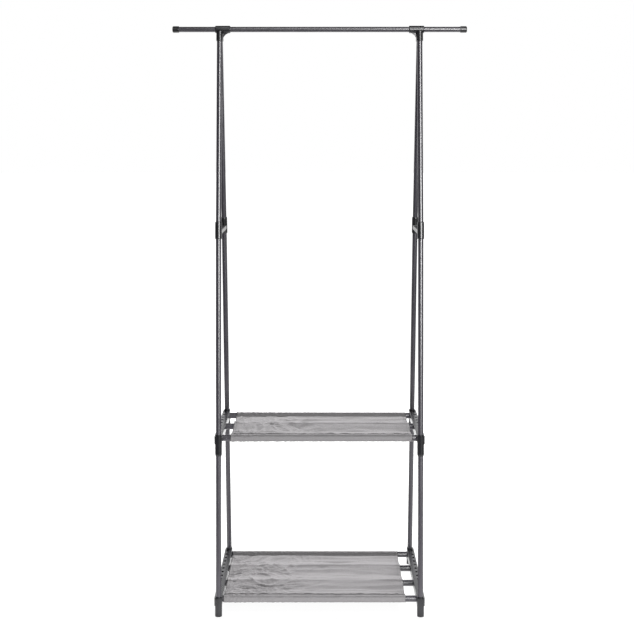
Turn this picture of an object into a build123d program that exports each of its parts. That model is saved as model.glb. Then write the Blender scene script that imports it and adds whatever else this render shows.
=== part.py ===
"""Free-standing garment rail: two A-shaped side frames, a hanging rail and two cloth shelves.

Millimetres, +Z up, front towards -Y, origin on the floor at the middle of the footprint.
"""

from build123d import *
import os

os.makedirs("parts", exist_ok=True)

# Overall layout
side_x = 300.0  # half the distance between the side frames
rail_z = 1736.0  # height of the hanging rail's axis
rail_half_length = 442.0  # from the middle to the outer face of an end cap
bend_z = 1139.0  # height at which the legs change their lean
upper_shelf_z = 520.0  # height of the upper shelf's tube axes
lower_shelf_z = 41.5  # height of the lower shelf's tube axes

# Lean of the legs: distance of their axes from the middle plane
leg_top_z = 1718.0
leg_top_y = 9.0
leg_bend_y = 111.0
leg_foot_y = 228.0

# Tubes and their sockets
pole_d = 16.0
shelf_tube_d = 19.0
tube_wall = 1.0
socket_clearance = 0.05  # radial, round every tube end
end_gap = 0.2  # between a tube's end and the bottom of its socket
stop_half = 2.0  # half the thickness of the stop between two sockets
overlap = 0.5  # by which joined shapes run into each other

# Top connectors, rail arms and caps
rail_sleeve_d = 22.0
rail_sleeve_length = 45.0
rail_sleeve_overhang = 13.5  # outwards past the leg axes
rail_socket_depth = 22.0
arm_socket_depth = 20.0
neck_width = 20.0
rail_sleeve_taper = (1.6, 0.8)  # length and depth of the taper at each rim
neck_drop = 34.5  # bottom of the leg sockets below the rail's axis
neck_top_drop = 3.0
neck_bottom_half = 22.6
neck_top_half = 16.0
neck_top_radius = 3.0
neck_bottom_radius = 0.8
gusset_thickness = 6.0
gusset_drop = 27.0  # its lowest point, below the rail's axis
gusset_reach = 28.5  # its tip, inwards from the leg axes
gusset_waist = 16.5  # the middle of its curve, inwards and below the rail's axis
cap_d = 19.4
cap_length = 19.5
cap_end = 2.5
cap_nose_radius = 3.5
cap_mouth_radius = 0.7

# Middle braces
brace_sleeve_d = 20.5
brace_sleeve_half = 25.0
brace_sleeve_taper = (1.5, 0.7)
brace_width = 16.0
brace_height = 12.0
brace_rim = 1.6
brace_recess = 1.2
brace_wall = 2.2
brace_edge_radius = 0.7

# Shelf brackets
bracket_sleeve_d = 21.0
bracket_sleeve_taper = (5.0, 1.4)
bracket_inner_x = 290.0  # wall that faces the shelf
bracket_outer_x = 313.0
bracket_height = 24.0
bracket_wall = 2.6
bracket_nose = 9.0  # bar past the leg axes, at the front and rear
bracket_end_flat = 1.0  # flat left between the two round corners of each end
bracket_edge_radius = 1.5
tube_inset = 27.0  # outermost shelf tubes inside the leg axes
tube_socket_depth = 18.0
sleeve_above_shelf = 16.0
sleeve_below_shelf = 47.0
upper_stop_drop = 14.0  # stop between two poles, below the upper shelf's axes
foot_floor = 9.0  # solid plastic under the lower poles
slots_per_gap = 4
slot_length = 13.0
slot_width = 7.0
slot_inset = 8.0  # middle of the slots, from the outer wall
blind_slot_depth = 1.4
rib = 3.4

# Shelf cloths
cloth_width = 544.0
cloth_thickness = 1.5
cloth_clearance = 0.5
upper_cloth_shift = 5.5  # the upper cloth rests towards the right
lower_cloth_shift = -15.0  # the lower cloth rests towards the left

sides = {"left": -1, "right": 1}
faces = {"front": -1, "rear": 1}
upper_tube_names = ("rear", "middle", "front")
lower_tube_names = ("rear", "mid_rear", "mid_front", "front")


def leg_y(z):
    """Distance of the leg axes from the middle plane at height z."""
    if z > bend_z:
        share = (z - bend_z) / (leg_top_z - bend_z)
        return leg_bend_y + share * (leg_top_y - leg_bend_y)
    share = z / bend_z
    return leg_foot_y + share * (leg_bend_y - leg_foot_y)


def leg_point(side, face, z):
    """Point on one leg's axis at height z."""
    return Vector(side * side_x, face * leg_y(z), z)


def rail_point(x):
    """Point on the hanging rail's axis."""
    return Vector(x, 0, rail_z)


def socket_d(tube_d):
    """Bore that takes a tube's end."""
    return tube_d + 2 * socket_clearance


def finish(part, name):
    """Label one finished piece and write its STEP file."""
    part.label = name
    export_step(part, f"parts/{name}.step")


def add_rod(start, end, diameter, mode=Mode.ADD):
    """Add a plain cylinder between two points to the current part, or cut it out."""
    with BuildSketch(Plane(origin=start, z_dir=end - start)) as section:
        Circle(diameter / 2)
    extrude(section.sketch, amount=(end - start).length, mode=mode)


def add_sleeve(start, end, diameter, taper):
    """Add a cylinder whose two rims taper in; taper is a length and a depth."""
    taper_length, taper_depth = taper
    direction = (end - start).normalized()
    length = (end - start).length
    radial = Vector(1, 0, 0) if abs(direction.X) < 0.5 else Vector(0, 1, 0)
    outer = diameter / 2
    with BuildSketch(Plane(origin=start, x_dir=radial, z_dir=radial.cross(direction))) as half:
        with BuildLine():
            Polyline(
                (0, 0),
                (outer - taper_depth, 0),
                (outer, taper_length),
                (outer, length - taper_length),
                (outer - taper_depth, length),
                (0, length),
                close=True,
            )
        make_face()
    revolve(half.sketch, axis=Axis(start, direction))


def cut_block(x_centre, y_centre, low_z, x_size, y_size, height):
    """Cut an upright rectangular pocket out of the current part."""
    with BuildSketch(Plane.XY.offset(low_z)) as outline:
        with Locations((x_centre, y_centre)):
            Rectangle(x_size, y_size)
    extrude(outline.sketch, amount=height, mode=Mode.SUBTRACT)


def make_tube(name, start, end, diameter):
    """Straight round tube with an open bore."""
    with BuildPart() as tube:
        add_rod(start, end, diameter)
        add_rod(start, end, diameter - 2 * tube_wall, Mode.SUBTRACT)
    finish(tube.part, name)


def tube_rows(shelf_z, count):
    """Depth positions of one shelf's tubes, from the rear to the front."""
    half = leg_y(shelf_z) - tube_inset
    return [half - 2 * half * index / (count - 1) for index in range(count)]


def make_shelf_bracket(name, side, shelf_z, rows, is_foot):
    """Ribbed bar with a socket for each shelf tube, between two leaning pole sleeves."""
    bar_x = side * (bracket_inner_x + bracket_outer_x) / 2
    bar_width = bracket_outer_x - bracket_inner_x
    bar_low = shelf_z - bracket_height / 2
    bar_high = shelf_z + bracket_height / 2
    sleeve_top = shelf_z + sleeve_above_shelf
    sleeve_bottom = -bracket_sleeve_d if is_foot else shelf_z - sleeve_below_shelf
    upper_stop = foot_floor if is_foot else shelf_z - upper_stop_drop + stop_half
    pitch = (rows[0] - rows[1]) / slots_per_gap

    with BuildPart() as bracket:
        with BuildSketch(Plane.XY.offset(bar_low)):
            with Locations((bar_x, 0)):
                bar_length = 2 * (leg_y(shelf_z) + bracket_nose)
                RectangleRounded(bar_width, bar_length, (bar_width - bracket_end_flat) / 2)
        extrude(amount=bracket_height)
        rims = bracket.faces().filter_by(Axis.Z).edges()
        fillet(rims, radius=bracket_edge_radius)

        for step in range(slots_per_gap * (len(rows) - 1) + 1):
            y = rows[0] - step * pitch
            over_tube = step % slots_per_gap == 0
            depth = blind_slot_depth if over_tube else bracket_wall + overlap
            with BuildSketch(Plane.XY.offset(bar_high)):
                with Locations((side * (bracket_outer_x - slot_inset), y)):
                    SlotOverall(slot_length, slot_width, rotation=90)
            extrude(amount=-depth, mode=Mode.SUBTRACT)
            if not over_tube:
                cell = bar_width - 2 * bracket_wall
                cut_block(bar_x, y, bar_low, cell, pitch - rib, bracket_height - bracket_wall)

        for face in faces.values():
            bottom = leg_point(side, face, sleeve_bottom)
            top = leg_point(side, face, sleeve_top)
            add_sleeve(bottom, top, bracket_sleeve_d, bracket_sleeve_taper)
        for face in faces.values():
            top = leg_point(side, face, sleeve_top)
            add_rod(top, leg_point(side, face, upper_stop), socket_d(pole_d), Mode.SUBTRACT)
            if not is_foot:
                lower_stop = leg_point(side, face, upper_stop - 2 * stop_half)
                bottom = leg_point(side, face, sleeve_bottom)
                add_rod(bottom, lower_stop, socket_d(pole_d), Mode.SUBTRACT)
        for y in rows:
            mouth = Vector(side * bracket_inner_x, y, shelf_z)
            inner_end = Vector(side * (bracket_inner_x + tube_socket_depth), y, shelf_z)
            add_rod(mouth, inner_end, socket_d(shelf_tube_d), Mode.SUBTRACT)
        if is_foot:
            split(bisect_by=Plane.XY, keep=Keep.TOP)
    finish(bracket.part, name)


def make_cloth(name, shelf_z, rows, shift):
    """Flat sheet with a tunnel round the rear tube and another round the front tube."""
    inner = shelf_tube_d / 2 + cloth_clearance
    outer = inner + cloth_thickness
    with BuildPart() as cloth:
        with BuildSketch(Plane.YZ.offset(shift - cloth_width / 2)):
            with Locations((rows[0], shelf_z), (rows[-1], shelf_z)):
                Circle(outer)
            with Locations((0, shelf_z + inner + cloth_thickness / 2)):
                Rectangle(rows[0] - rows[-1], cloth_thickness)
            with Locations((rows[0], shelf_z), (rows[-1], shelf_z)):
                Circle(inner, mode=Mode.SUBTRACT)
        extrude(amount=cloth_width)
    finish(cloth.part, name)


# Poles: three lengths on each leg, with every end in a socket
upper_stop_z = upper_shelf_z - upper_stop_drop
pole_ends = {
    "upper": (leg_top_z, bend_z + stop_half),
    "middle": (bend_z - stop_half, upper_stop_z + stop_half),
    "lower": (upper_stop_z - stop_half, foot_floor),
}
for side_name, side in sides.items():
    for face_name, face in faces.items():
        for level, (top_z, bottom_z) in pole_ends.items():
            top = leg_point(side, face, top_z - end_gap)
            bottom = leg_point(side, face, bottom_z + end_gap)
            make_tube(f"{face_name}_{level}_pole_{side_name}", bottom, top, pole_d)


# Hanging rail: a long middle tube, a short arm at each end and a cap on each arm
rail_inner_x = side_x + rail_sleeve_overhang - rail_sleeve_length
rail_outer_x = side_x + rail_sleeve_overhang
rail_half = rail_inner_x + rail_socket_depth - end_gap
make_tube("rail_tube", rail_point(-rail_half), rail_point(rail_half), pole_d)

for side_name, side in sides.items():
    arm_start = rail_point(side * (rail_outer_x - arm_socket_depth + end_gap))
    arm_end = rail_point(side * (rail_half_length - cap_end - end_gap))
    make_tube(f"rail_arm_{side_name}", arm_start, arm_end, pole_d)

    cap_mouth = rail_point(side * (rail_half_length - cap_length))
    cap_tip = rail_point(side * rail_half_length)
    with BuildPart() as cap:
        add_rod(cap_mouth, cap_tip, cap_d)
        rims = cap.edges().filter_by(GeomType.CIRCLE).sort_by(lambda edge: abs(edge.center().X))
        fillet(rims[-1], radius=cap_nose_radius)
        fillet(rims[0], radius=cap_mouth_radius)
        socket_end = rail_point(side * (rail_half_length - cap_end))
        add_rod(cap_mouth, socket_end, socket_d(pole_d), Mode.SUBTRACT)
    finish(cap.part, f"rail_end_cap_{side_name}")


# Top connectors: a horizontal sleeve, a neck with two leg sockets and a gusset on the inner side
for side_name, side in sides.items():
    outer_end = rail_point(side * rail_outer_x)
    inner_end = rail_point(side * rail_inner_x)
    neck_z = rail_z - neck_drop
    with BuildPart() as top_connector:
        with BuildSketch(Plane.XY.offset(neck_z)):
            with Locations((side * side_x, 0)):
                SlotOverall(2 * neck_bottom_half, neck_width, rotation=90)
        with BuildSketch(Plane.XY.offset(rail_z - neck_top_drop)):
            with Locations((side * side_x, 0)):
                SlotOverall(2 * neck_top_half, neck_width, rotation=90)
        loft()
        fillet(top_connector.faces().sort_by(Axis.Z)[-1].edges(), radius=neck_top_radius)
        fillet(top_connector.faces().sort_by(Axis.Z)[0].edges(), radius=neck_bottom_radius)
        add_sleeve(outer_end, inner_end, rail_sleeve_d, rail_sleeve_taper)
        with BuildSketch(Plane.XZ):
            with BuildLine():
                web_low = (side * (side_x - neck_width / 2 + overlap), rail_z - gusset_drop)
                web_mid = (side * (side_x - gusset_waist), rail_z - gusset_waist)
                web_tip = (side * (side_x - gusset_reach), rail_z - rail_sleeve_d / 2 + overlap)
                ThreePointArc(web_low, web_mid, web_tip)
                Polyline(web_tip, (web_tip[0], rail_z), (web_low[0], rail_z), web_low)
            make_face()
        extrude(amount=gusset_thickness / 2, both=True)
        socket_stop = rail_point(side * (rail_inner_x + rail_socket_depth))
        add_rod(inner_end, socket_stop, socket_d(pole_d), Mode.SUBTRACT)
        socket_stop = rail_point(side * (rail_outer_x - arm_socket_depth))
        add_rod(outer_end, socket_stop, socket_d(pole_d), Mode.SUBTRACT)
        for face in faces.values():
            below_neck = leg_point(side, face, neck_z - pole_d / 2)
            add_rod(below_neck, leg_point(side, face, leg_top_z), socket_d(pole_d), Mode.SUBTRACT)
    finish(top_connector.part, f"top_connector_{side_name}")


# Middle braces: two bent sleeves joined by a level bar with a shallow tray on top
for side_name, side in sides.items():
    inner_half = leg_bend_y - brace_sleeve_d / 2
    with BuildPart() as brace:
        with BuildSketch(Plane.XY.offset(bend_z - brace_height)):
            with Locations((side * side_x, 0)):
                Rectangle(brace_width, 2 * leg_bend_y)
        extrude(amount=brace_height)
        fillet(brace.edges().filter_by(Axis.Y), radius=brace_edge_radius)
        tray_width = brace_width - 2 * brace_rim
        tray_z = bend_z - brace_recess
        cut_block(side * side_x, 0, tray_z, tray_width, 2 * (inner_half - brace_rim), brace_recess)
        for half in (-1, 1):
            pocket_y = half * inner_half / 2
            pocket_width = brace_width - 2 * brace_wall
            pocket_length = inner_half - 2 * brace_wall
            pocket_height = brace_height - brace_recess - brace_wall
            pocket_z = bend_z - brace_height
            cut_block(side * side_x, pocket_y, pocket_z, pocket_width, pocket_length, pocket_height)
        for face in faces.values():
            bend = leg_point(side, face, bend_z)
            for end_z in (bend_z - brace_sleeve_half, bend_z + brace_sleeve_half):
                end = leg_point(side, face, end_z)
                add_sleeve(bend, end, brace_sleeve_d, brace_sleeve_taper)
            with Locations(bend):
                Sphere(brace_sleeve_d / 2)
        for face in faces.values():
            for direction in (-1, 1):
                mouth = leg_point(side, face, bend_z + direction * brace_sleeve_half)
                stop = leg_point(side, face, bend_z + direction * stop_half)
                add_rod(mouth, stop, socket_d(pole_d), Mode.SUBTRACT)
    finish(brace.part, f"mid_brace_{side_name}")


# Shelves: brackets, tubes and cloths
upper_rows = tube_rows(upper_shelf_z, len(upper_tube_names))
lower_rows = tube_rows(lower_shelf_z, len(lower_tube_names))
for side_name, side in sides.items():
    make_shelf_bracket(f"upper_shelf_bracket_{side_name}", side, upper_shelf_z, upper_rows, False)
    make_shelf_bracket(f"lower_shelf_bracket_{side_name}", side, lower_shelf_z, lower_rows, True)

shelf_tube_half = bracket_inner_x + tube_socket_depth - end_gap
for shelf, shelf_z, names, rows in (
    ("upper", upper_shelf_z, upper_tube_names, upper_rows),
    ("lower", lower_shelf_z, lower_tube_names, lower_rows),
):
    for tube_name, y in zip(names, rows):
        left_end = Vector(-shelf_tube_half, y, shelf_z)
        right_end = Vector(shelf_tube_half, y, shelf_z)
        make_tube(f"{shelf}_shelf_tube_{tube_name}", left_end, right_end, shelf_tube_d)

make_cloth("upper_shelf_cloth", upper_shelf_z, upper_rows, upper_cloth_shift)
make_cloth("lower_shelf_cloth", lower_shelf_z, lower_rows, lower_cloth_shift)

print("leg depth at the shelves:", round(leg_y(upper_shelf_z), 2), round(leg_y(lower_shelf_z), 2))
print("tube rows:", [round(y, 2) for y in upper_rows], [round(y, 2) for y in lower_rows])
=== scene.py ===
import math

import bmesh
import bpy
import numpy as np
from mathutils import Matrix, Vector, noise


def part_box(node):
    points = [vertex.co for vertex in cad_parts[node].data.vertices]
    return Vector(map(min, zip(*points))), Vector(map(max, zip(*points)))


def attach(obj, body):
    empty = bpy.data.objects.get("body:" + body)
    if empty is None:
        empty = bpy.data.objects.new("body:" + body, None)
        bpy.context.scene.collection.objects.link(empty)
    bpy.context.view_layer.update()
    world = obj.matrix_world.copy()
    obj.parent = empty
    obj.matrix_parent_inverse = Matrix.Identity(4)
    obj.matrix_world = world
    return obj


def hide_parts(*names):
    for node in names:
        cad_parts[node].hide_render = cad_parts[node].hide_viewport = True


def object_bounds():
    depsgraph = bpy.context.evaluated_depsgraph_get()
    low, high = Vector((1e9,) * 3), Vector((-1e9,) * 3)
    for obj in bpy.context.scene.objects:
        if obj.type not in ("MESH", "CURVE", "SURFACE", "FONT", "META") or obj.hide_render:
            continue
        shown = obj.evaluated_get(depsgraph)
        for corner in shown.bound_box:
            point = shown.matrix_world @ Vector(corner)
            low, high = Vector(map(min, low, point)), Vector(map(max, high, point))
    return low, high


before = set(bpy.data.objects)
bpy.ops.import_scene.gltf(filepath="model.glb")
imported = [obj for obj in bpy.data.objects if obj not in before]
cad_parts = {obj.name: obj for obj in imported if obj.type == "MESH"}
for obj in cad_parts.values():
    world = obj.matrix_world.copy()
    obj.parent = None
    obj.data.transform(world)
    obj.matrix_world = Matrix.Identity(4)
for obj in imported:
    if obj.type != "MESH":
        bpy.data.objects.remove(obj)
cad_low, cad_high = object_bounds()
noise.seed_set(1)  # noise.noise_vector would differ from run to run without it

# Camera, in front of the rail and 1.4 m up, looking slightly down
camera_distance = 3.81
camera_height = 1.431
camera_pitch = math.radians(6.15)
camera_turn = math.radians(0.12)
camera_lens = 70.98
camera_shift = -0.08

# Floor, in metres from the middle of the object
floor_radius = 40
glow_start = 0.5
glow_full = 1.0
least_glow = 0.92

# Black screens round the object, by their corners: left, beside the camera, low front, overhead, right
black_screens = (
    ((-1.7, -4.3, 0.0), (-1.7, 1.0, 0.0), (-1.7, 1.0, 3.9), (-1.7, -4.3, 3.9)),
    ((-1.7, -4.3, 0.0), (0.6, -4.3, 0.0), (0.6, -4.3, 3.9), (-1.7, -4.3, 3.9)),
    ((-1.7, -4.3, 0.03), (3.0, -4.3, 0.03), (3.0, -1.0, 0.03), (-1.7, -1.0, 0.03)),
    ((-1.7, -4.3, 3.9), (3.0, -4.3, 3.9), (3.0, 2.6, 3.9), (-1.7, 2.6, 3.9)),
    ((1.9, -1.2, 0.0), (1.9, 1.0, 0.0), (1.9, 1.0, 3.9), (1.9, -1.2, 3.9)),
)

# Cloth sheets, in metres
cloth_thickness = 0.00045
layer_step = 0.0006  # between the middle surfaces of two layers sewn together
tunnel_gap = 0.0003  # air between a tube and the cloth round it
seam_back = 0.0110  # seam of a tunnel, from its tube's axis towards the panel
front_seam_rise = 0.0058  # seams above their tubes' axes: the cloth is turned a little on its tubes
rear_seam_rise = 0.0010
allowance_length = 0.010  # cloth past the tunnel's seam, under the shelf
allowance_drop = 2.6 * layer_step  # of its cut edge below the seam
hem_width = 0.012  # cloth folded under along each side edge
panel_step = 0.0030
tunnel_step = 0.0015
panel_sag = 0.0055  # of the cloth between two tubes
flattened_width = 0.016  # beside a seam, where the wrinkles fade out
held_rows = 2  # rows of the sewn tunnels that hold the panel while it settles
settle_frames = 24
rod_length = 1.2  # of the simulation's tubes, as a share of the shelf's width
rod_spare = 0.2  # further length of theirs

# Wrinkles, in metres, with shares of the shelf's width from the left
upper_seed = 3
lower_seed = 8
crumple_height = 0.0039
facet_length = 0.060
facet_breadth = 0.032
fade_start = 0.22  # share of the width where the crumpling starts to fade
fade_width = 0.42  # share of the width over which it fades
least_crumpled = 0.12  # share of the crumpling that is left at the right
fold_height = 0.0023
fold_length = 0.16
fold_breadth = 0.028
valley_depth = 0.0036  # further depth of the crease midway between two tubes
valley_width = 0.012
valley_wander = 0.006
crease_bow = 0.004
gather_height = 0.0036  # cloth bunched up along the front seam
gather_width = 0.0030
gather_length = 0.022
pucker_height = 0.0007
pucker_length = 0.0085
pucker_reach = 0.014  # from the seam into the panel
loose_tunnel = 0.0014  # slack of the tunnels, most at the left
slack_length = 0.0075

# Single sharp creases, by their two ends on the shelf, height and width
upper_creases = (
    ((-0.14, 0.02), (-0.03, -0.07), -0.0016, 0.0045),
    ((-0.24, -0.02), (-0.15, 0.05), -0.0012, 0.0040),
    ((-0.20, -0.09), (-0.08, -0.06), 0.0012, 0.0050),
)
lower_creases = (
    ((-0.25, 0.12), (-0.16, 0.00), 0.0016, 0.0050),
    ((-0.28, 0.02), (-0.18, 0.01), -0.0013, 0.0040),
    ((-0.05, -0.06), (0.24, -0.075), -0.0012, 0.0050),
    ((0.02, 0.10), (0.22, 0.115), -0.0010, 0.0050),
)

# Stitches
stitch_length = 0.0026
stitch_pitch = 0.0034
stitch_profile = ((0.0, -0.7), (0.16, 0.35), (0.5, 0.75), (0.84, 0.35), (1.0, -0.7))
stitch_sides = 6
thread_radius = 0.00022
hem_stitch_inset = 0.0095
seam_thread_and_shadow_radius = 0.0008  # thick near-black thread over the front seam: partly overlock stitching, partly a painted shadow line where the panel meets the front roll
look_ahead = 0.001  # along a row of stitches, for a stitch's direction

ink = (0.040, 0.037, 0.046)
plastic_black = (0.014, 0.014, 0.016)
cloth_grey = (0.170, 0.164, 0.168)
thread_grey = (0.075, 0.072, 0.075)
# Near-black thread of the front seam: overlock stitching, and also a painted shadow line between the panel
# and the front roll
seam_thread_and_shadow_grey = (0.016, 0.016, 0.018)
bond_pitch = 0.0011  # between the bonded points of the fabric


# ---- Shader helpers ----------------------------------------------------------------------


def add_node(tree, kind, inputs=None, **settings):
    """Add a shader node; inputs holds values or sockets by the input's name or number."""
    node = tree.nodes.new(kind)
    for name, value in settings.items():
        setattr(node, name, value)
    for key, value in (inputs or {}).items():
        if isinstance(value, bpy.types.NodeSocket):
            tree.links.new(value, node.inputs[key])
        else:
            node.inputs[key].default_value = value
    return node


def calculate(tree, operation, *values):
    """Result of one math node."""
    return add_node(tree, "ShaderNodeMath", dict(enumerate(values)), operation=operation).outputs[0]


def part_of(tree, value, share):
    """A constant share of a value."""
    return calculate(tree, "MULTIPLY", value, share)


def object_place(tree):
    """The point's place in metres, which moves with the piece."""
    return add_node(tree, "ShaderNodeTexCoord").outputs["Object"]


def scaled(tree, place, scale, turn=(0, 0, 0)):
    """A place stretched per axis, so that a pattern gets a direction."""
    mapping = add_node(tree, "ShaderNodeMapping", {"Vector": place, "Scale": scale, "Rotation": turn})
    return mapping.outputs[0]


def noise_value(tree, place, scale=1.0, detail=2.0, roughness=0.5, distortion=0.0):
    """Smooth noise from 0 to 1."""
    inputs = {"Vector": place, "Scale": scale, "Detail": detail}
    inputs.update({"Roughness": roughness, "Distortion": distortion})
    return add_node(tree, "ShaderNodeTexNoise", inputs).outputs[0]


def remap(tree, value, low, high, to_low=0.0, to_high=1.0, smooth=True):
    """Value from low to high carried to to_low and to_high, and held outside."""
    inputs = {"Value": value, "From Min": low, "From Max": high, "To Min": to_low, "To Max": to_high}
    kind = "SMOOTHSTEP" if smooth else "LINEAR"
    return add_node(tree, "ShaderNodeMapRange", inputs, interpolation_type=kind).outputs[0]


def mix_colour(tree, share, first, second):
    """First colour turning into the second as share goes from 0 to 1."""
    return add_node(tree, "ShaderNodeMix", {0: share, 6: first, 7: second}, data_type="RGBA").outputs[2]


def grey(value):
    """Opaque grey of one brightness."""
    return (value, value, value, 1.0)


def shade(colour, factor):
    """Opaque colour, made lighter or darker."""
    return tuple(c * factor for c in colour) + (1.0,)


def bump(tree, height, distance, strength=1.0, below=None):
    """Surface relief; distance is the height in metres of a full step."""
    inputs = {"Height": height, "Distance": distance, "Strength": strength}
    if below is not None:
        inputs["Normal"] = below
    return add_node(tree, "ShaderNodeBump", inputs).outputs[0]


def new_material(name):
    """Empty node material, its tree and its Principled shader."""
    material = bpy.data.materials.new(name)
    material.use_nodes = True
    return material, material.node_tree, material.node_tree.nodes["Principled BSDF"]


def connect(tree, shader, **sockets):
    """Link values to the shader's sockets, named with _ for a space."""
    for name, value in sockets.items():
        tree.links.new(value, shader.inputs[name.replace("_", " ")])


# ---- Materials ---------------------------------------------------------------------------


def painted_metal(name, rub_scale):
    """Semi-gloss powder coat with orange peel, fine rubs along the tube and cloudy tone."""
    material, tree, shader = new_material(name)
    place = object_place(tree)
    clouds = noise_value(tree, place, scale=14, detail=3)
    peel = noise_value(tree, place, scale=420)
    grain = noise_value(tree, place, scale=2600)
    rubs = noise_value(tree, scaled(tree, place, rub_scale), detail=4, roughness=0.65)
    rubbed = remap(tree, rubs, 0.62, 0.80)
    specks = remap(tree, noise_value(tree, place, scale=900, detail=1), 0.70, 0.78)

    tone = mix_colour(tree, clouds, shade(ink, 0.86), shade(ink, 1.16))
    tone = mix_colour(tree, part_of(tree, rubbed, 0.15), tone, shade(ink, 1.5))
    tone = mix_colour(tree, part_of(tree, specks, 0.30), tone, shade(ink, 2.2))
    roughness = remap(tree, clouds, 0.3, 0.7, 0.29, 0.34)
    roughness = calculate(tree, "ADD", roughness, part_of(tree, rubbed, 0.04))
    roughness = calculate(tree, "ADD", roughness, part_of(tree, grain, 0.03))
    normal = bump(tree, peel, 0.000003)
    normal = bump(tree, grain, 0.0000004, below=normal)
    shader.inputs["IOR"].default_value = 1.5
    shader.inputs["Coat Weight"].default_value = 0.4
    shader.inputs["Coat Roughness"].default_value = 0.20
    connect(tree, shader, Base_Color=tone, Roughness=roughness, Normal=normal)
    return material


def moulded_plastic(name):
    """Dark injection-moulded plastic: fine spark-eroded grain, flow tone and rubbed edges."""
    material, tree, shader = new_material(name)
    place = object_place(tree)
    clouds = noise_value(tree, place, scale=22, detail=3)
    grain = noise_value(tree, place, scale=1500, detail=3, roughness=0.6)
    pits = add_node(tree, "ShaderNodeTexVoronoi", {"Vector": place, "Scale": 1900.0}).outputs["Distance"]
    scuffs = noise_value(tree, scaled(tree, place, (60, 60, 300)), detail=5, roughness=0.7)
    scuffed = remap(tree, scuffs, 0.62, 0.75)
    worn = remap(tree, add_node(tree, "ShaderNodeNewGeometry").outputs["Pointiness"], 0.52, 0.60)

    tone = mix_colour(tree, clouds, shade(plastic_black, 0.82), shade(plastic_black, 1.2))
    tone = mix_colour(tree, part_of(tree, scuffed, 0.30), tone, shade(plastic_black, 2.2))
    tone = mix_colour(tree, part_of(tree, worn, 0.45), tone, shade(plastic_black, 2.6))
    roughness = remap(tree, clouds, 0.3, 0.7, 0.27, 0.33)
    roughness = calculate(tree, "ADD", roughness, part_of(tree, scuffed, 0.10))
    roughness = calculate(tree, "ADD", roughness, part_of(tree, worn, -0.08))
    normal = bump(tree, grain, 0.000005)
    normal = bump(tree, pits, 0.000003, below=normal)
    shader.inputs["IOR"].default_value = 1.5
    connect(tree, shader, Base_Color=tone, Roughness=roughness, Normal=normal)
    return material


def bonded_points(tree, place):
    """1 on the fabric's bonded points, which lie on a diagonal lattice, and 0 between them."""
    lattice = scaled(tree, place, (1 / bond_pitch, 1 / bond_pitch, 1), (0, 0, math.radians(45)))
    cell = add_node(tree, "ShaderNodeVectorMath", {0: lattice}, operation="FRACTION").outputs[0]
    centred = add_node(tree, "ShaderNodeVectorMath", {0: cell, 1: (0.5, 0.5, 0)}, operation="SUBTRACT")
    away = add_node(tree, "ShaderNodeVectorMath", {0: centred.outputs[0]}, operation="ABSOLUTE")
    parts = add_node(tree, "ShaderNodeSeparateXYZ", {0: away.outputs[0]}).outputs
    return remap(tree, calculate(tree, "MAXIMUM", parts[0], parts[1]), 0.16, 0.30, 1.0, 0.0)


def bonded_fabric(name):
    """Grey non-woven polypropylene: a lattice of bonded points over matted fibres."""
    material, tree, shader = new_material(name)
    place = add_node(tree, "ShaderNodeUVMap", uv_map="cloth").outputs[0]
    clouds = noise_value(tree, place, scale=45, detail=4, roughness=0.6)
    mottle = noise_value(tree, place, scale=260, detail=3, roughness=0.6)
    fibres = noise_value(tree, place, scale=1900, detail=3, roughness=0.7, distortion=2.5)
    strands = noise_value(tree, scaled(tree, place, (500, 4200, 1), (0, 0, 0.5)))
    bonded = bonded_points(tree, place)
    fine_creases = noise_value(tree, scaled(tree, place, (60, 210, 1)), detail=3, distortion=0.8)

    tone = mix_colour(tree, clouds, shade(cloth_grey, 0.90), shade(cloth_grey, 1.10))
    tone = mix_colour(tree, remap(tree, mottle, 0.35, 0.65), tone, shade(cloth_grey, 1.12))
    tone = mix_colour(tree, part_of(tree, bonded, 0.55), tone, shade(cloth_grey, 0.80))
    tone = mix_colour(tree, remap(tree, strands, 0.55, 0.8, 0.0, 0.35), tone, shade(cloth_grey, 1.35))
    roughness = remap(tree, bonded, 0.0, 1.0, 0.66, 0.52, smooth=False)
    normal = bump(tree, fine_creases, 0.0005, strength=0.5)
    normal = bump(tree, part_of(tree, bonded, -1.0), 0.00009, below=normal)
    normal = bump(tree, fibres, 0.00006, below=normal)
    shader.inputs["IOR"].default_value = 1.5
    shader.inputs["Sheen Weight"].default_value = 0.08
    shader.inputs["Sheen Roughness"].default_value = 0.45
    connect(tree, shader, Base_Color=tone, Roughness=roughness, Normal=normal)
    return material


def sewing_thread(name, colour):
    """Twisted polyester thread."""
    material, tree, shader = new_material(name)
    inputs = {"Vector": object_place(tree), "Scale": 700.0, "Distortion": 1.5, "Detail": 2.0}
    twist = add_node(tree, "ShaderNodeTexWave", inputs, bands_direction="DIAGONAL").outputs["Fac"]
    tone = mix_colour(tree, twist, shade(colour, 0.62), shade(colour, 1.15))
    roughness = remap(tree, twist, 0.0, 1.0, 0.65, 0.50, smooth=False)
    connect(tree, shader, Base_Color=tone, Roughness=roughness, Normal=bump(tree, twist, 0.00004))
    shader.inputs["Sheen Weight"].default_value = 0.1
    return material


def studio_floor(name):
    """Pale floor that glows, up to full white a little way from the object."""
    material, tree, shader = new_material(name)
    parts = add_node(tree, "ShaderNodeSeparateXYZ", {0: object_place(tree)}).outputs
    squares = [calculate(tree, "MULTIPLY", part, part) for part in (parts[0], parts[1])]
    distance = calculate(tree, "SQRT", calculate(tree, "ADD", *squares))
    glow = remap(tree, distance, glow_start, glow_full, least_glow, 1.0)
    dust = noise_value(tree, object_place(tree), scale=6, detail=4)
    connect(tree, shader, Emission_Strength=glow, Base_Color=mix_colour(tree, dust, grey(0.19), grey(0.21)))
    shader.inputs["Emission Color"].default_value = grey(1.0)
    shader.inputs["Roughness"].default_value = 0.9
    shader.inputs["Specular IOR Level"].default_value = 0.1
    material.cycles.emission_sampling = "NONE"
    return material


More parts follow.
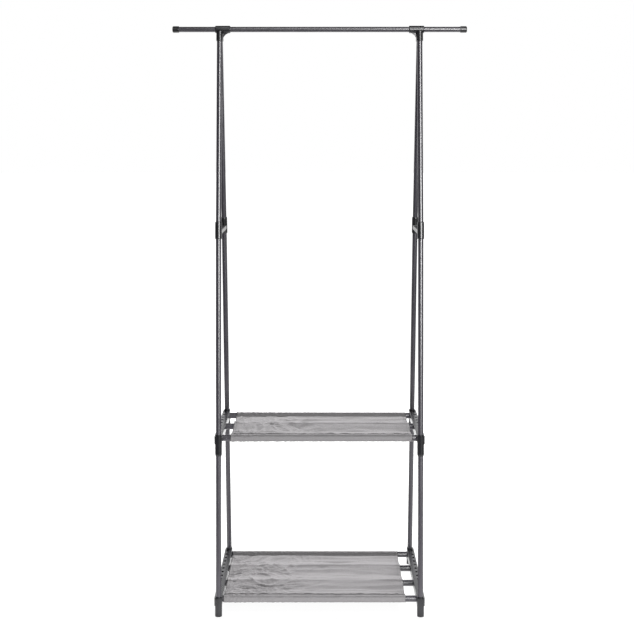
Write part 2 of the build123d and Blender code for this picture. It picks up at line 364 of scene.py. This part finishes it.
def black_felt(name):
    """Cloth of the screens that keep stray light off the object."""
    material, tree, shader = new_material(name)
    nap = noise_value(tree, object_place(tree), scale=300)
    connect(tree, shader, Base_Color=mix_colour(tree, nap, grey(0.010), grey(0.020)))
    shader.inputs["Roughness"].default_value = 1.0
    shader.inputs["Specular IOR Level"].default_value = 0.0
    return material


# ---- Course of the cloth -----------------------------------------------------------------


def tube_centres(shelf, names):
    """(y, z) of each tube's axis and the tubes' radius, from the rear to the front."""
    centres = []
    for name in names:
        low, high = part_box(f"{shelf}_shelf_tube_{name}")
        centres.append(((low.y + high.y) / 2, (low.z + high.z) / 2))
        radius = (high.z - low.z) / 2
    return centres, radius


def spaced(first, last, step):
    """Points on a straight line, without the last one."""
    count = max(1, round(math.dist(first, last) / step))
    return [tuple(a + (b - a) * i / count for a, b in zip(first, last)) for i in range(count)]


def tunnel_section(radius, seam_rise):
    """(y, z) points round one tunnel whose tube's axis is the origin and whose panel lies towards +Y.

    They run from the seam over the top, round the front, back under the seam and along the
    sewing allowance to its cut edge.
    """
    seam = (seam_back, seam_rise)
    reach = math.hypot(*seam)
    lean = math.atan2(seam_rise, seam_back)
    spread = math.acos(radius / reach)
    first, last = lean + spread, lean - spread + 2 * math.pi
    count = round((last - first) * radius / tunnel_step)
    arc = [first + (last - first) * i / count for i in range(count + 1)]
    round_tube = [(radius * math.cos(a), radius * math.sin(a)) for a in arc]
    under_seam = (seam_back + layer_step * 0.3, seam_rise - layer_step)
    cut_edge = (seam_back + allowance_length, seam_rise - allowance_drop)
    points = spaced(seam, round_tube[0], tunnel_step) + round_tube
    points += spaced(round_tube[-1], under_seam, tunnel_step)[1:]
    points += spaced(under_seam, cut_edge, tunnel_step * 1.6) + [cut_edge]
    return points


def panel_path(supports):
    """(y, z) points of the panel between its two seams, as it hangs over the tubes between them."""
    points = []
    for (first_y, first_z), (last_y, last_z) in zip(supports, supports[1:]):
        for y, _ in spaced((first_y, 0), (last_y, 0), panel_step):
            share = (y - first_y) / (last_y - first_y)
            level = first_z + share * (last_z - first_z)
            points.append((y, level - 4 * panel_sag * share * (1 - share)))
    return points[1:]


def sheet_path(centres, radius, clearance):
    """(y, z) points of the whole sheet from its rear to its front cut edge.

    With them come the first and the last row of the panel, and the places midway between its supports.
    """
    (rear_y, axis_z), (front_y, _) = centres[0], centres[-1]
    front = [(front_y + y, axis_z + z) for y, z in tunnel_section(radius, front_seam_rise)]
    rear = [(rear_y - y, axis_z + z) for y, z in tunnel_section(radius, rear_seam_rise)][::-1]
    supports = [rear[-1]] + [(y, z + clearance) for y, z in centres[1:-1]] + [front[0]]
    middles = [(first[0] + last[0]) / 2 for first, last in zip(supports, supports[1:])]
    panel = panel_path(supports)
    return np.array(rear + panel + front), len(rear), len(rear) + len(panel) - 1, middles


# ---- Wrinkles ----------------------------------------------------------------------------


def drift(*place):
    """Smooth value from about -1 to 1, which changes over one unit of each coordinate."""
    return noise.noise(Vector(place))


def crumple(x, y, seed):
    """Height of the facets and ridges that handling left in the cloth, from about -1 to 1."""
    turn = 0.30 + 0.9 * drift(x / 0.14, y / 0.11, seed + 40)
    along, aside = x * math.cos(turn) + y * math.sin(turn), y * math.cos(turn) - x * math.sin(turn)
    place = Vector((along / facet_length, aside / facet_breadth, seed))
    warp = noise.noise_vector(place * 0.7) * 0.55
    broad = noise.noise(place * 0.9 + warp + Vector((4.7, 1.9, 0)))
    near, far = noise.voronoi(place + warp)[0][:2]
    small_near, small_far = noise.voronoi(place * 1.8 + warp + Vector((2.2, 9.4, 0)))[0][:2]
    ridge = math.exp(-(far - near) / 0.12)
    small_ridge = math.exp(-(small_far - small_near) / 0.15)
    return 0.8 * broad + 0.25 - 0.7 * min(far - near, 0.6) + 0.45 * ridge + 0.32 * small_ridge


def long_folds(x, y, seed):
    """Height of the long folds that run along the tubes, from about -1 to 1."""
    place = Vector((x / fold_length, y / fold_breadth, seed + 20))
    slow = noise.noise(place + noise.noise_vector(place * 0.7) * 0.5)
    sharp = 1 - 3.0 * abs(drift(x / 0.20, y / 0.034, seed + 31))
    return 0.8 * slow + 0.5 * sharp


def crease_line(x, y, line):
    """Height of one sharp crease between two points on the shelf."""
    (x0, y0), (x1, y1), height, width = line
    along = Vector((x1 - x0, y1 - y0))
    share = min(1.0, max(0.0, Vector((x - x0, y - y0)).dot(along) / along.length_squared))
    bow = crease_bow * math.sin(3.1 * share + 40 * x0)
    away = math.dist((x, y), (x0 + share * along.x, y0 + share * along.y + bow))
    ends = min(1.0, 5 * min(share, 1 - share) + 0.15)
    return height * ends * math.exp(-away / width)


def relief(x, y, along, middles, seed, creases):
    """Height of wrinkles, folds and creases; along is the share of the shelf's width from the left."""
    left_share = 1 - min(1.0, max(0.0, (along - fade_start) / fade_width))
    crumpled = least_crumpled + (1 - least_crumpled) * left_share**1.2
    height = crumple_height * crumpled * crumple(x, y, seed)
    height += fold_height * (1.1 - 0.6 * crumpled) * long_folds(x, y, seed)
    for middle in middles:
        wander = valley_wander * drift(x / 0.12, middle * 40, seed)
        strength = 0.75 + 0.5 * drift(x / 0.10, middle * 60, seed + 3)
        strength *= 1.1 - 0.7 * crumpled
        height -= valley_depth * strength * math.exp(-abs(y - middle - wander) / valley_width)
    return height + sum(crease_line(x, y, line) for line in creases)


def gather(x, away, seed):
    """Ridge of cloth bunched up just behind the front seam."""
    uneven = 0.85 + 0.5 * drift(x / gather_length, seed + 11, 0)
    return gather_height * uneven * math.exp(-(((away - gather_width) / gather_width) ** 2))


def puckers(x, away, seed):
    """Small gathers that a seam pulls into the cloth beside it."""
    return pucker_height * drift(x / pucker_length, seed, 0) * math.exp(-away / pucker_reach)


def tunnel_slack(x, row, along, seed):
    """How far the cloth of a tunnel stands off its tube."""
    ripple = max(0.0, drift(x / slack_length, row / 2.6, seed + 5) + 0.10) * 1.6
    return loose_tunnel * ripple * (0.25 + 0.75 * (1 - along) ** 2)


# ---- Making the sheets -------------------------------------------------------------------


def lay_sheet(path, across, seams, centres, middles, seed, creases):
    """Points of the sheet by row and column, and the height of the wrinkles to add to them."""
    (rear_y, axis_z), (front_y, _) = centres[0], centres[-1]
    rear_seam, front_seam = seams
    points = np.zeros((len(path), len(across), 3))
    wrinkles = np.zeros(points.shape[:2])
    for r, (y, z) in enumerate(path):
        seam_distance = min(rear_seam - y, y - front_seam)
        for c, x in enumerate(across):
            along = c / (len(across) - 1)
            if seam_distance > 0:
                flattened = min(1.0, seam_distance / flattened_width)
                wrinkles[r, c] = flattened * relief(x, y, along, middles, seed, creases)
                wrinkles[r, c] += gather(x, y - front_seam, seed)
                points[r, c] = (x, y, z + puckers(x, seam_distance, seed))
            else:
                tube_y = front_y if y < 0 else rear_y
                outward = Vector((0, y - tube_y, z - axis_z)).normalized()
                slack = tunnel_slack(x, r, along, seed)
                points[r, c] = (x, y + outward.y * slack, z + outward.z * slack)
    return points, wrinkles


def lift_over(points, centres, clearance):
    """Raise the cloth wherever it would sink into a tube."""
    for y, z in centres:
        away = np.abs(points[..., 1] - y)
        roof = z + np.sqrt(np.maximum(clearance**2 - away**2, 0))
        over = (away < clearance) & (points[..., 2] < roof)
        points[..., 2][over] = roof[over]


def grid_mesh(name, points, rows, columns, uvs):
    """Mesh of quads through a grid of points, with the uv map that its fabric follows."""
    mesh = bpy.data.meshes.new(name)
    faces = []
    for r in range(rows - 1):
        for c in range(columns - 1):
            corner = r * columns + c
            faces.append((corner, corner + columns, corner + columns + 1, corner + 1))
    mesh.from_pydata([tuple(p) for p in points], [], faces)
    layer = mesh.uv_layers.new(name="cloth")
    corners = np.zeros(len(mesh.loops), int)
    mesh.loops.foreach_get("vertex_index", corners)
    layer.data.foreach_set("uv", uvs[corners].astype(np.float32).ravel())
    mesh.polygons.foreach_set("use_smooth", [True] * len(mesh.polygons))
    mesh.update()
    return mesh


def add_object(name, mesh, material):
    """Link a mesh as a new object with one material."""
    made = bpy.data.objects.new(name, mesh)
    bpy.context.scene.collection.objects.link(made)
    mesh.materials.append(material)
    return made


def smooth_object(name, made, material):
    """Smooth-shaded object from a bmesh, which is freed."""
    mesh = bpy.data.meshes.new(name)
    made.to_mesh(mesh)
    made.free()
    mesh.polygons.foreach_set("use_smooth", [True] * len(mesh.polygons))
    return add_object(name, mesh, material)


def add_rods(centres, radius, length):
    """Tubes for the cloth simulation to lie on."""
    rods = []
    for y, z in centres:
        bpy.ops.mesh.primitive_cylinder_add(
            vertices=48, radius=radius, depth=length, location=(0, y, z), rotation=(0, math.pi / 2, 0)
        )
        rod = bpy.context.object
        rod.modifiers.new("Collision", "COLLISION")
        rod.collision.thickness_outer = 0.001
        rod.collision.cloth_friction = 3.0
        rods.append(rod)
    return rods


def simulate(sheet):
    """Points of a sheet after it has hung as cloth from its group of held points."""
    cloth = sheet.modifiers.new("Cloth", "CLOTH")
    settings = cloth.settings
    settings.quality = 5
    settings.mass = 0.12
    settings.vertex_group_mass = "held"
    settings.tension_stiffness = 50
    settings.compression_stiffness = 50
    settings.shear_stiffness = 30
    settings.bending_model = "ANGULAR"
    settings.bending_stiffness = 2.0
    settings.air_damping = 4
    settings.tension_damping = 12
    settings.compression_damping = 12
    settings.shear_damping = 12
    settings.bending_damping = 1.5
    cloth.collision_settings.distance_min = 0.001
    cloth.collision_settings.collision_quality = 3
    cloth.collision_settings.use_self_collision = False
    cloth.point_cache.frame_start = 1
    cloth.point_cache.frame_end = settle_frames
    for frame_number in range(1, settle_frames + 1):
        bpy.context.scene.frame_set(frame_number)

    settled = sheet.evaluated_get(bpy.context.evaluated_depsgraph_get()).to_mesh()
    points = np.zeros(len(settled.vertices) * 3)
    settled.vertices.foreach_get("co", points)
    sheet.evaluated_get(bpy.context.evaluated_depsgraph_get()).to_mesh_clear()
    sheet.modifiers.remove(cloth)
    return points


def settle_panel(points, wrinkles, centres, radius, length, fabric):
    """Let a panel hang over its tubes with half of its wrinkles, held by its first and last rows."""
    rows, columns = wrinkles.shape
    loose_points = points + wrinkles[..., None] * np.array((0, 0, 0.5))
    mesh = grid_mesh("draft", loose_points.reshape(-1, 3), rows, columns, np.zeros((rows * columns, 2)))
    draft = add_object("draft", mesh, fabric)
    pinned = np.ones((rows, columns), bool)
    pinned[held_rows:-held_rows] = False
    rods = add_rods(centres, radius, length)
    group = draft.vertex_groups.new(name="held")
    group.add([int(i) for i in np.flatnonzero(pinned)], 1.0, "REPLACE")
    settled = simulate(draft)
    for made in (*rods, draft):
        bpy.data.objects.remove(made)
    bpy.context.scene.frame_set(1)
    return settled.reshape(points.shape)


def surface_normals(points):
    """Unit normals of a grid of points."""
    normals = np.cross(np.gradient(points, axis=0), np.gradient(points, axis=1))
    return normals / np.linalg.norm(normals, axis=2, keepdims=True)


def fold_hems(points, normals, hem_columns):
    """Grid with the hems that are folded under along both side edges."""
    under = points - layer_step * normals
    left_hem = under[:, 1 : hem_columns + 1][:, ::-1]
    right_hem = under[:, -hem_columns - 1 : -1][:, ::-1]
    return np.concatenate([left_hem, points, right_hem], axis=1)


def stitch_row(made, line, normals, radius=thread_radius):
    """Add one row of stitches to a bmesh, along a line of points on the cloth."""
    steps = np.linalg.norm(np.diff(line, axis=0), axis=1)
    travel = np.concatenate([[0], np.cumsum(steps)])

    def along(values, at):
        return Vector([np.interp(at, travel, values[:, k]) for k in range(3)])

    for start in np.arange(stitch_pitch, travel[-1] - stitch_pitch, stitch_pitch):
        rings = []
        for share, lift in stitch_profile:
            at = start + share * stitch_length
            centre = along(line, at)
            ahead = along(line, at + look_ahead) - centre
            up = along(normals, at).normalized()
            across = ahead.cross(up).normalized()
            centre += up * (cloth_thickness / 2 + lift * radius)
            ring = []
            for k in range(stitch_sides):
                angle = 2 * math.pi * k / stitch_sides
                offset = across * math.cos(angle) + up * math.sin(angle)
                ring.append(made.verts.new(centre + offset * radius))
            rings.append(ring)
        for lower, upper in zip(rings, rings[1:]):
            for k in range(stitch_sides):
                made.faces.new((lower[k], lower[k - 1], upper[k - 1], upper[k]))
        made.faces.new(rings[0])
        made.faces.new(rings[-1][::-1])


def make_shelf_cloth(shelf, names, seed, creases, fabric, thread, seam_thread_and_shadow):
    """One continuous sheet sewn round the front and rear tubes, with folded and stitched side edges."""
    node = f"{shelf}_shelf_cloth"
    low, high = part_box(node)
    width = high.x - low.x
    columns = round(width / panel_step) + 1
    step = width / (columns - 1)
    centres, tube_radius = tube_centres(shelf, names)
    radius = tube_radius + tunnel_gap + cloth_thickness / 2 + layer_step
    clearance = tube_radius + layer_step + cloth_thickness
    path, first_free, last_free, middles = sheet_path(centres, radius, clearance)
    seams = (path[first_free - 1][0], path[last_free + 1][0])
    across = np.linspace(low.x, high.x, columns)
    points, wrinkles = lay_sheet(path, across, seams, centres, middles, seed, creases)
    part = slice(first_free - held_rows, last_free + 1 + held_rows)
    tubes = (centres[1:-1], tube_radius, rod_length * width + rod_spare)
    points[part] = settle_panel(points[part], wrinkles[part], *tubes, fabric)
    points[..., 2] += wrinkles
    lift_over(points[first_free : last_free + 1], centres[1:-1], clearance)

    normals = surface_normals(points)
    hem_columns = round(hem_width / panel_step)
    whole = fold_hems(points, normals, hem_columns)
    rows, all_columns = whole.shape[:2]
    lengths = np.linalg.norm(np.diff(path, axis=0), axis=1)
    down = np.concatenate([[0], np.cumsum(lengths)])
    flat_across = (np.arange(all_columns) - hem_columns) * step
    uvs = np.stack(np.meshgrid(flat_across, down), axis=-1).reshape(-1, 2)
    mesh = grid_mesh(node, whole.reshape(-1, 3), rows, all_columns, uvs)
    sheet = add_object(f"{shelf}_cloth_sheet", mesh, fabric)
    solid = sheet.modifiers.new("Thickness", "SOLIDIFY")
    solid.thickness = cloth_thickness
    solid.offset = 0

    made = bmesh.new()
    for row in (first_free - 1, last_free + 1):
        stitch_row(made, points[row], normals[row])
    inset = round(hem_stitch_inset / step)
    for column in (inset, columns - 1 - inset):
        rows_used = slice(first_free - 1, last_free + 2)
        stitch_row(made, points[rows_used, column], normals[rows_used, column])
    stitches = smooth_object(f"{shelf}_cloth_stitches", made, thread)
    # Near-black thread along the front seam: overlock stitching that also paints the shadow line between
    # the panel and the front roll
    made = bmesh.new()
    stitch_row(made, points[last_free], normals[last_free], seam_thread_and_shadow_radius)
    seam_thread_and_shadow_row = smooth_object(f"{shelf}_cloth_overlock", made, seam_thread_and_shadow)

    body = f"{shelf}_cloth"
    for piece in (sheet, stitches, seam_thread_and_shadow_row):
        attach(piece, body)
    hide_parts(node)


# ---- Stage, light and camera ---------------------------------------------------------------


def area_light(name, place, target, size, power, gloss=True, diffuse=True):
    """Soft rectangular light aimed at a point, for the shine, for the rest, or for both."""
    data = bpy.data.lights.new(name, "AREA")
    data.shape = "RECTANGLE"
    data.size, data.size_y = size
    data.energy = power
    light = bpy.data.objects.new(name, data)
    bpy.context.scene.collection.objects.link(light)
    light.location = place
    light.rotation_euler = (Vector(target) - Vector(place)).to_track_quat("-Z", "Y").to_euler()
    light.visible_camera = False
    light.visible_glossy = gloss
    light.visible_diffuse = diffuse
    return light


def keep_off(light, nodes):
    """Keep a light off some CAD nodes, whose flat tops would mirror it in the views from behind."""
    apart = bpy.data.collections.new(f"kept_off_{light.name}")
    for node in nodes:
        apart.objects.link(node)
    for entry in apart.collection_objects:
        entry.light_linking.link_state = "EXCLUDE"
    light.light_linking.receiver_collection = apart


def make_stage():
    """Round pale floor in even white surroundings, and black screens round the object."""
    made = bmesh.new()
    bmesh.ops.create_circle(made, cap_ends=True, segments=96, radius=floor_radius)
    floor = smooth_object("studio_floor", made, studio_floor("studio_floor"))

    made = bmesh.new()
    for corners in black_screens:
        made.faces.new([made.verts.new(corner) for corner in corners])
    screens = smooth_object("black_screens", made, black_felt("black_felt"))
    screens.visible_camera = False

    world = bpy.data.worlds.new("studio")
    world.use_nodes = True
    world.cycles.sampling_method = "NONE"
    bpy.context.scene.world = world
    world.node_tree.nodes["Background"].inputs["Color"].default_value = grey(1.0)


def make_lights():
    """Key light in front at the right, and weaker lights behind, in front, low down and above."""
    top = cad_high.z
    area_light("rear_softbox", (0.3, 2.4, top + 0.45), (0, 0, 0.3), size=(1.6, 0.6), power=300, gloss=False)
    key_place, key_target = (1.65, -4.0, top + 0.58), (0, 0, top + 0.3)
    key = area_light("key_softbox", key_place, key_target, size=(2.0, 2.85), power=430, diffuse=False)
    keep_off(key, [node for name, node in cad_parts.items() if "bracket" in name])
    area_light("front_fill", (0.6, -4.0, top), (0, 0, top / 2), size=(1.6, 1.6), power=45, gloss=False)
    area_light("low_strip", (0.0, -2.4, 0.07), (0, 0, 0.07), size=(2.0, 0.06), power=50, gloss=False)
    area_light("top_strip", (0.14, -1.3, top + 1.7), (0.14, 0, top), size=(1.1, 0.5), power=20)


def make_camera():
    """Camera in front of the object, level with its upper part."""
    data = bpy.data.cameras.new("camera")
    data.lens = camera_lens
    data.sensor_width = 36
    data.shift_y = camera_shift
    camera = bpy.data.objects.new("camera", data)
    bpy.context.scene.collection.objects.link(camera)
    camera.location = (0, -camera_distance, camera_height)
    camera.rotation_euler = (math.pi / 2 - camera_pitch, 0, camera_turn)
    bpy.context.scene.camera = camera


def finish_frame():
    """Give every CAD node that shows its material."""
    level_tube = painted_metal("painted_tube_level", (14, 900, 900))
    leaning_tube = painted_metal("painted_tube_leaning", (900, 900, 14))
    plastic = moulded_plastic("moulded_plastic")
    for name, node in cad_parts.items():
        if "cloth" in name:
            continue
        if "pole" in name:
            material = leaning_tube
        elif "tube" in name or "arm" in name:
            material = level_tube
        else:
            material = plastic
        node.data.materials.clear()
        node.data.materials.append(material)


make_camera()
make_stage()
make_lights()
finish_frame()
cloth_materials = (
    bonded_fabric("bonded_fabric"),
    sewing_thread("sewing_thread", thread_grey),
    # The last material paints the front seam's shadow line as well as its overlock thread
    sewing_thread("seam_thread_and_shadow_material", seam_thread_and_shadow_grey),
)
make_shelf_cloth("upper", ("rear", "middle", "front"), upper_seed, upper_creases, *cloth_materials)
lower_tubes = ("rear", "mid_rear", "mid_front", "front")
make_shelf_cloth("lower", lower_tubes, lower_seed, lower_creases, *cloth_materials)

bpy.context.scene.view_settings.view_transform = "Standard"
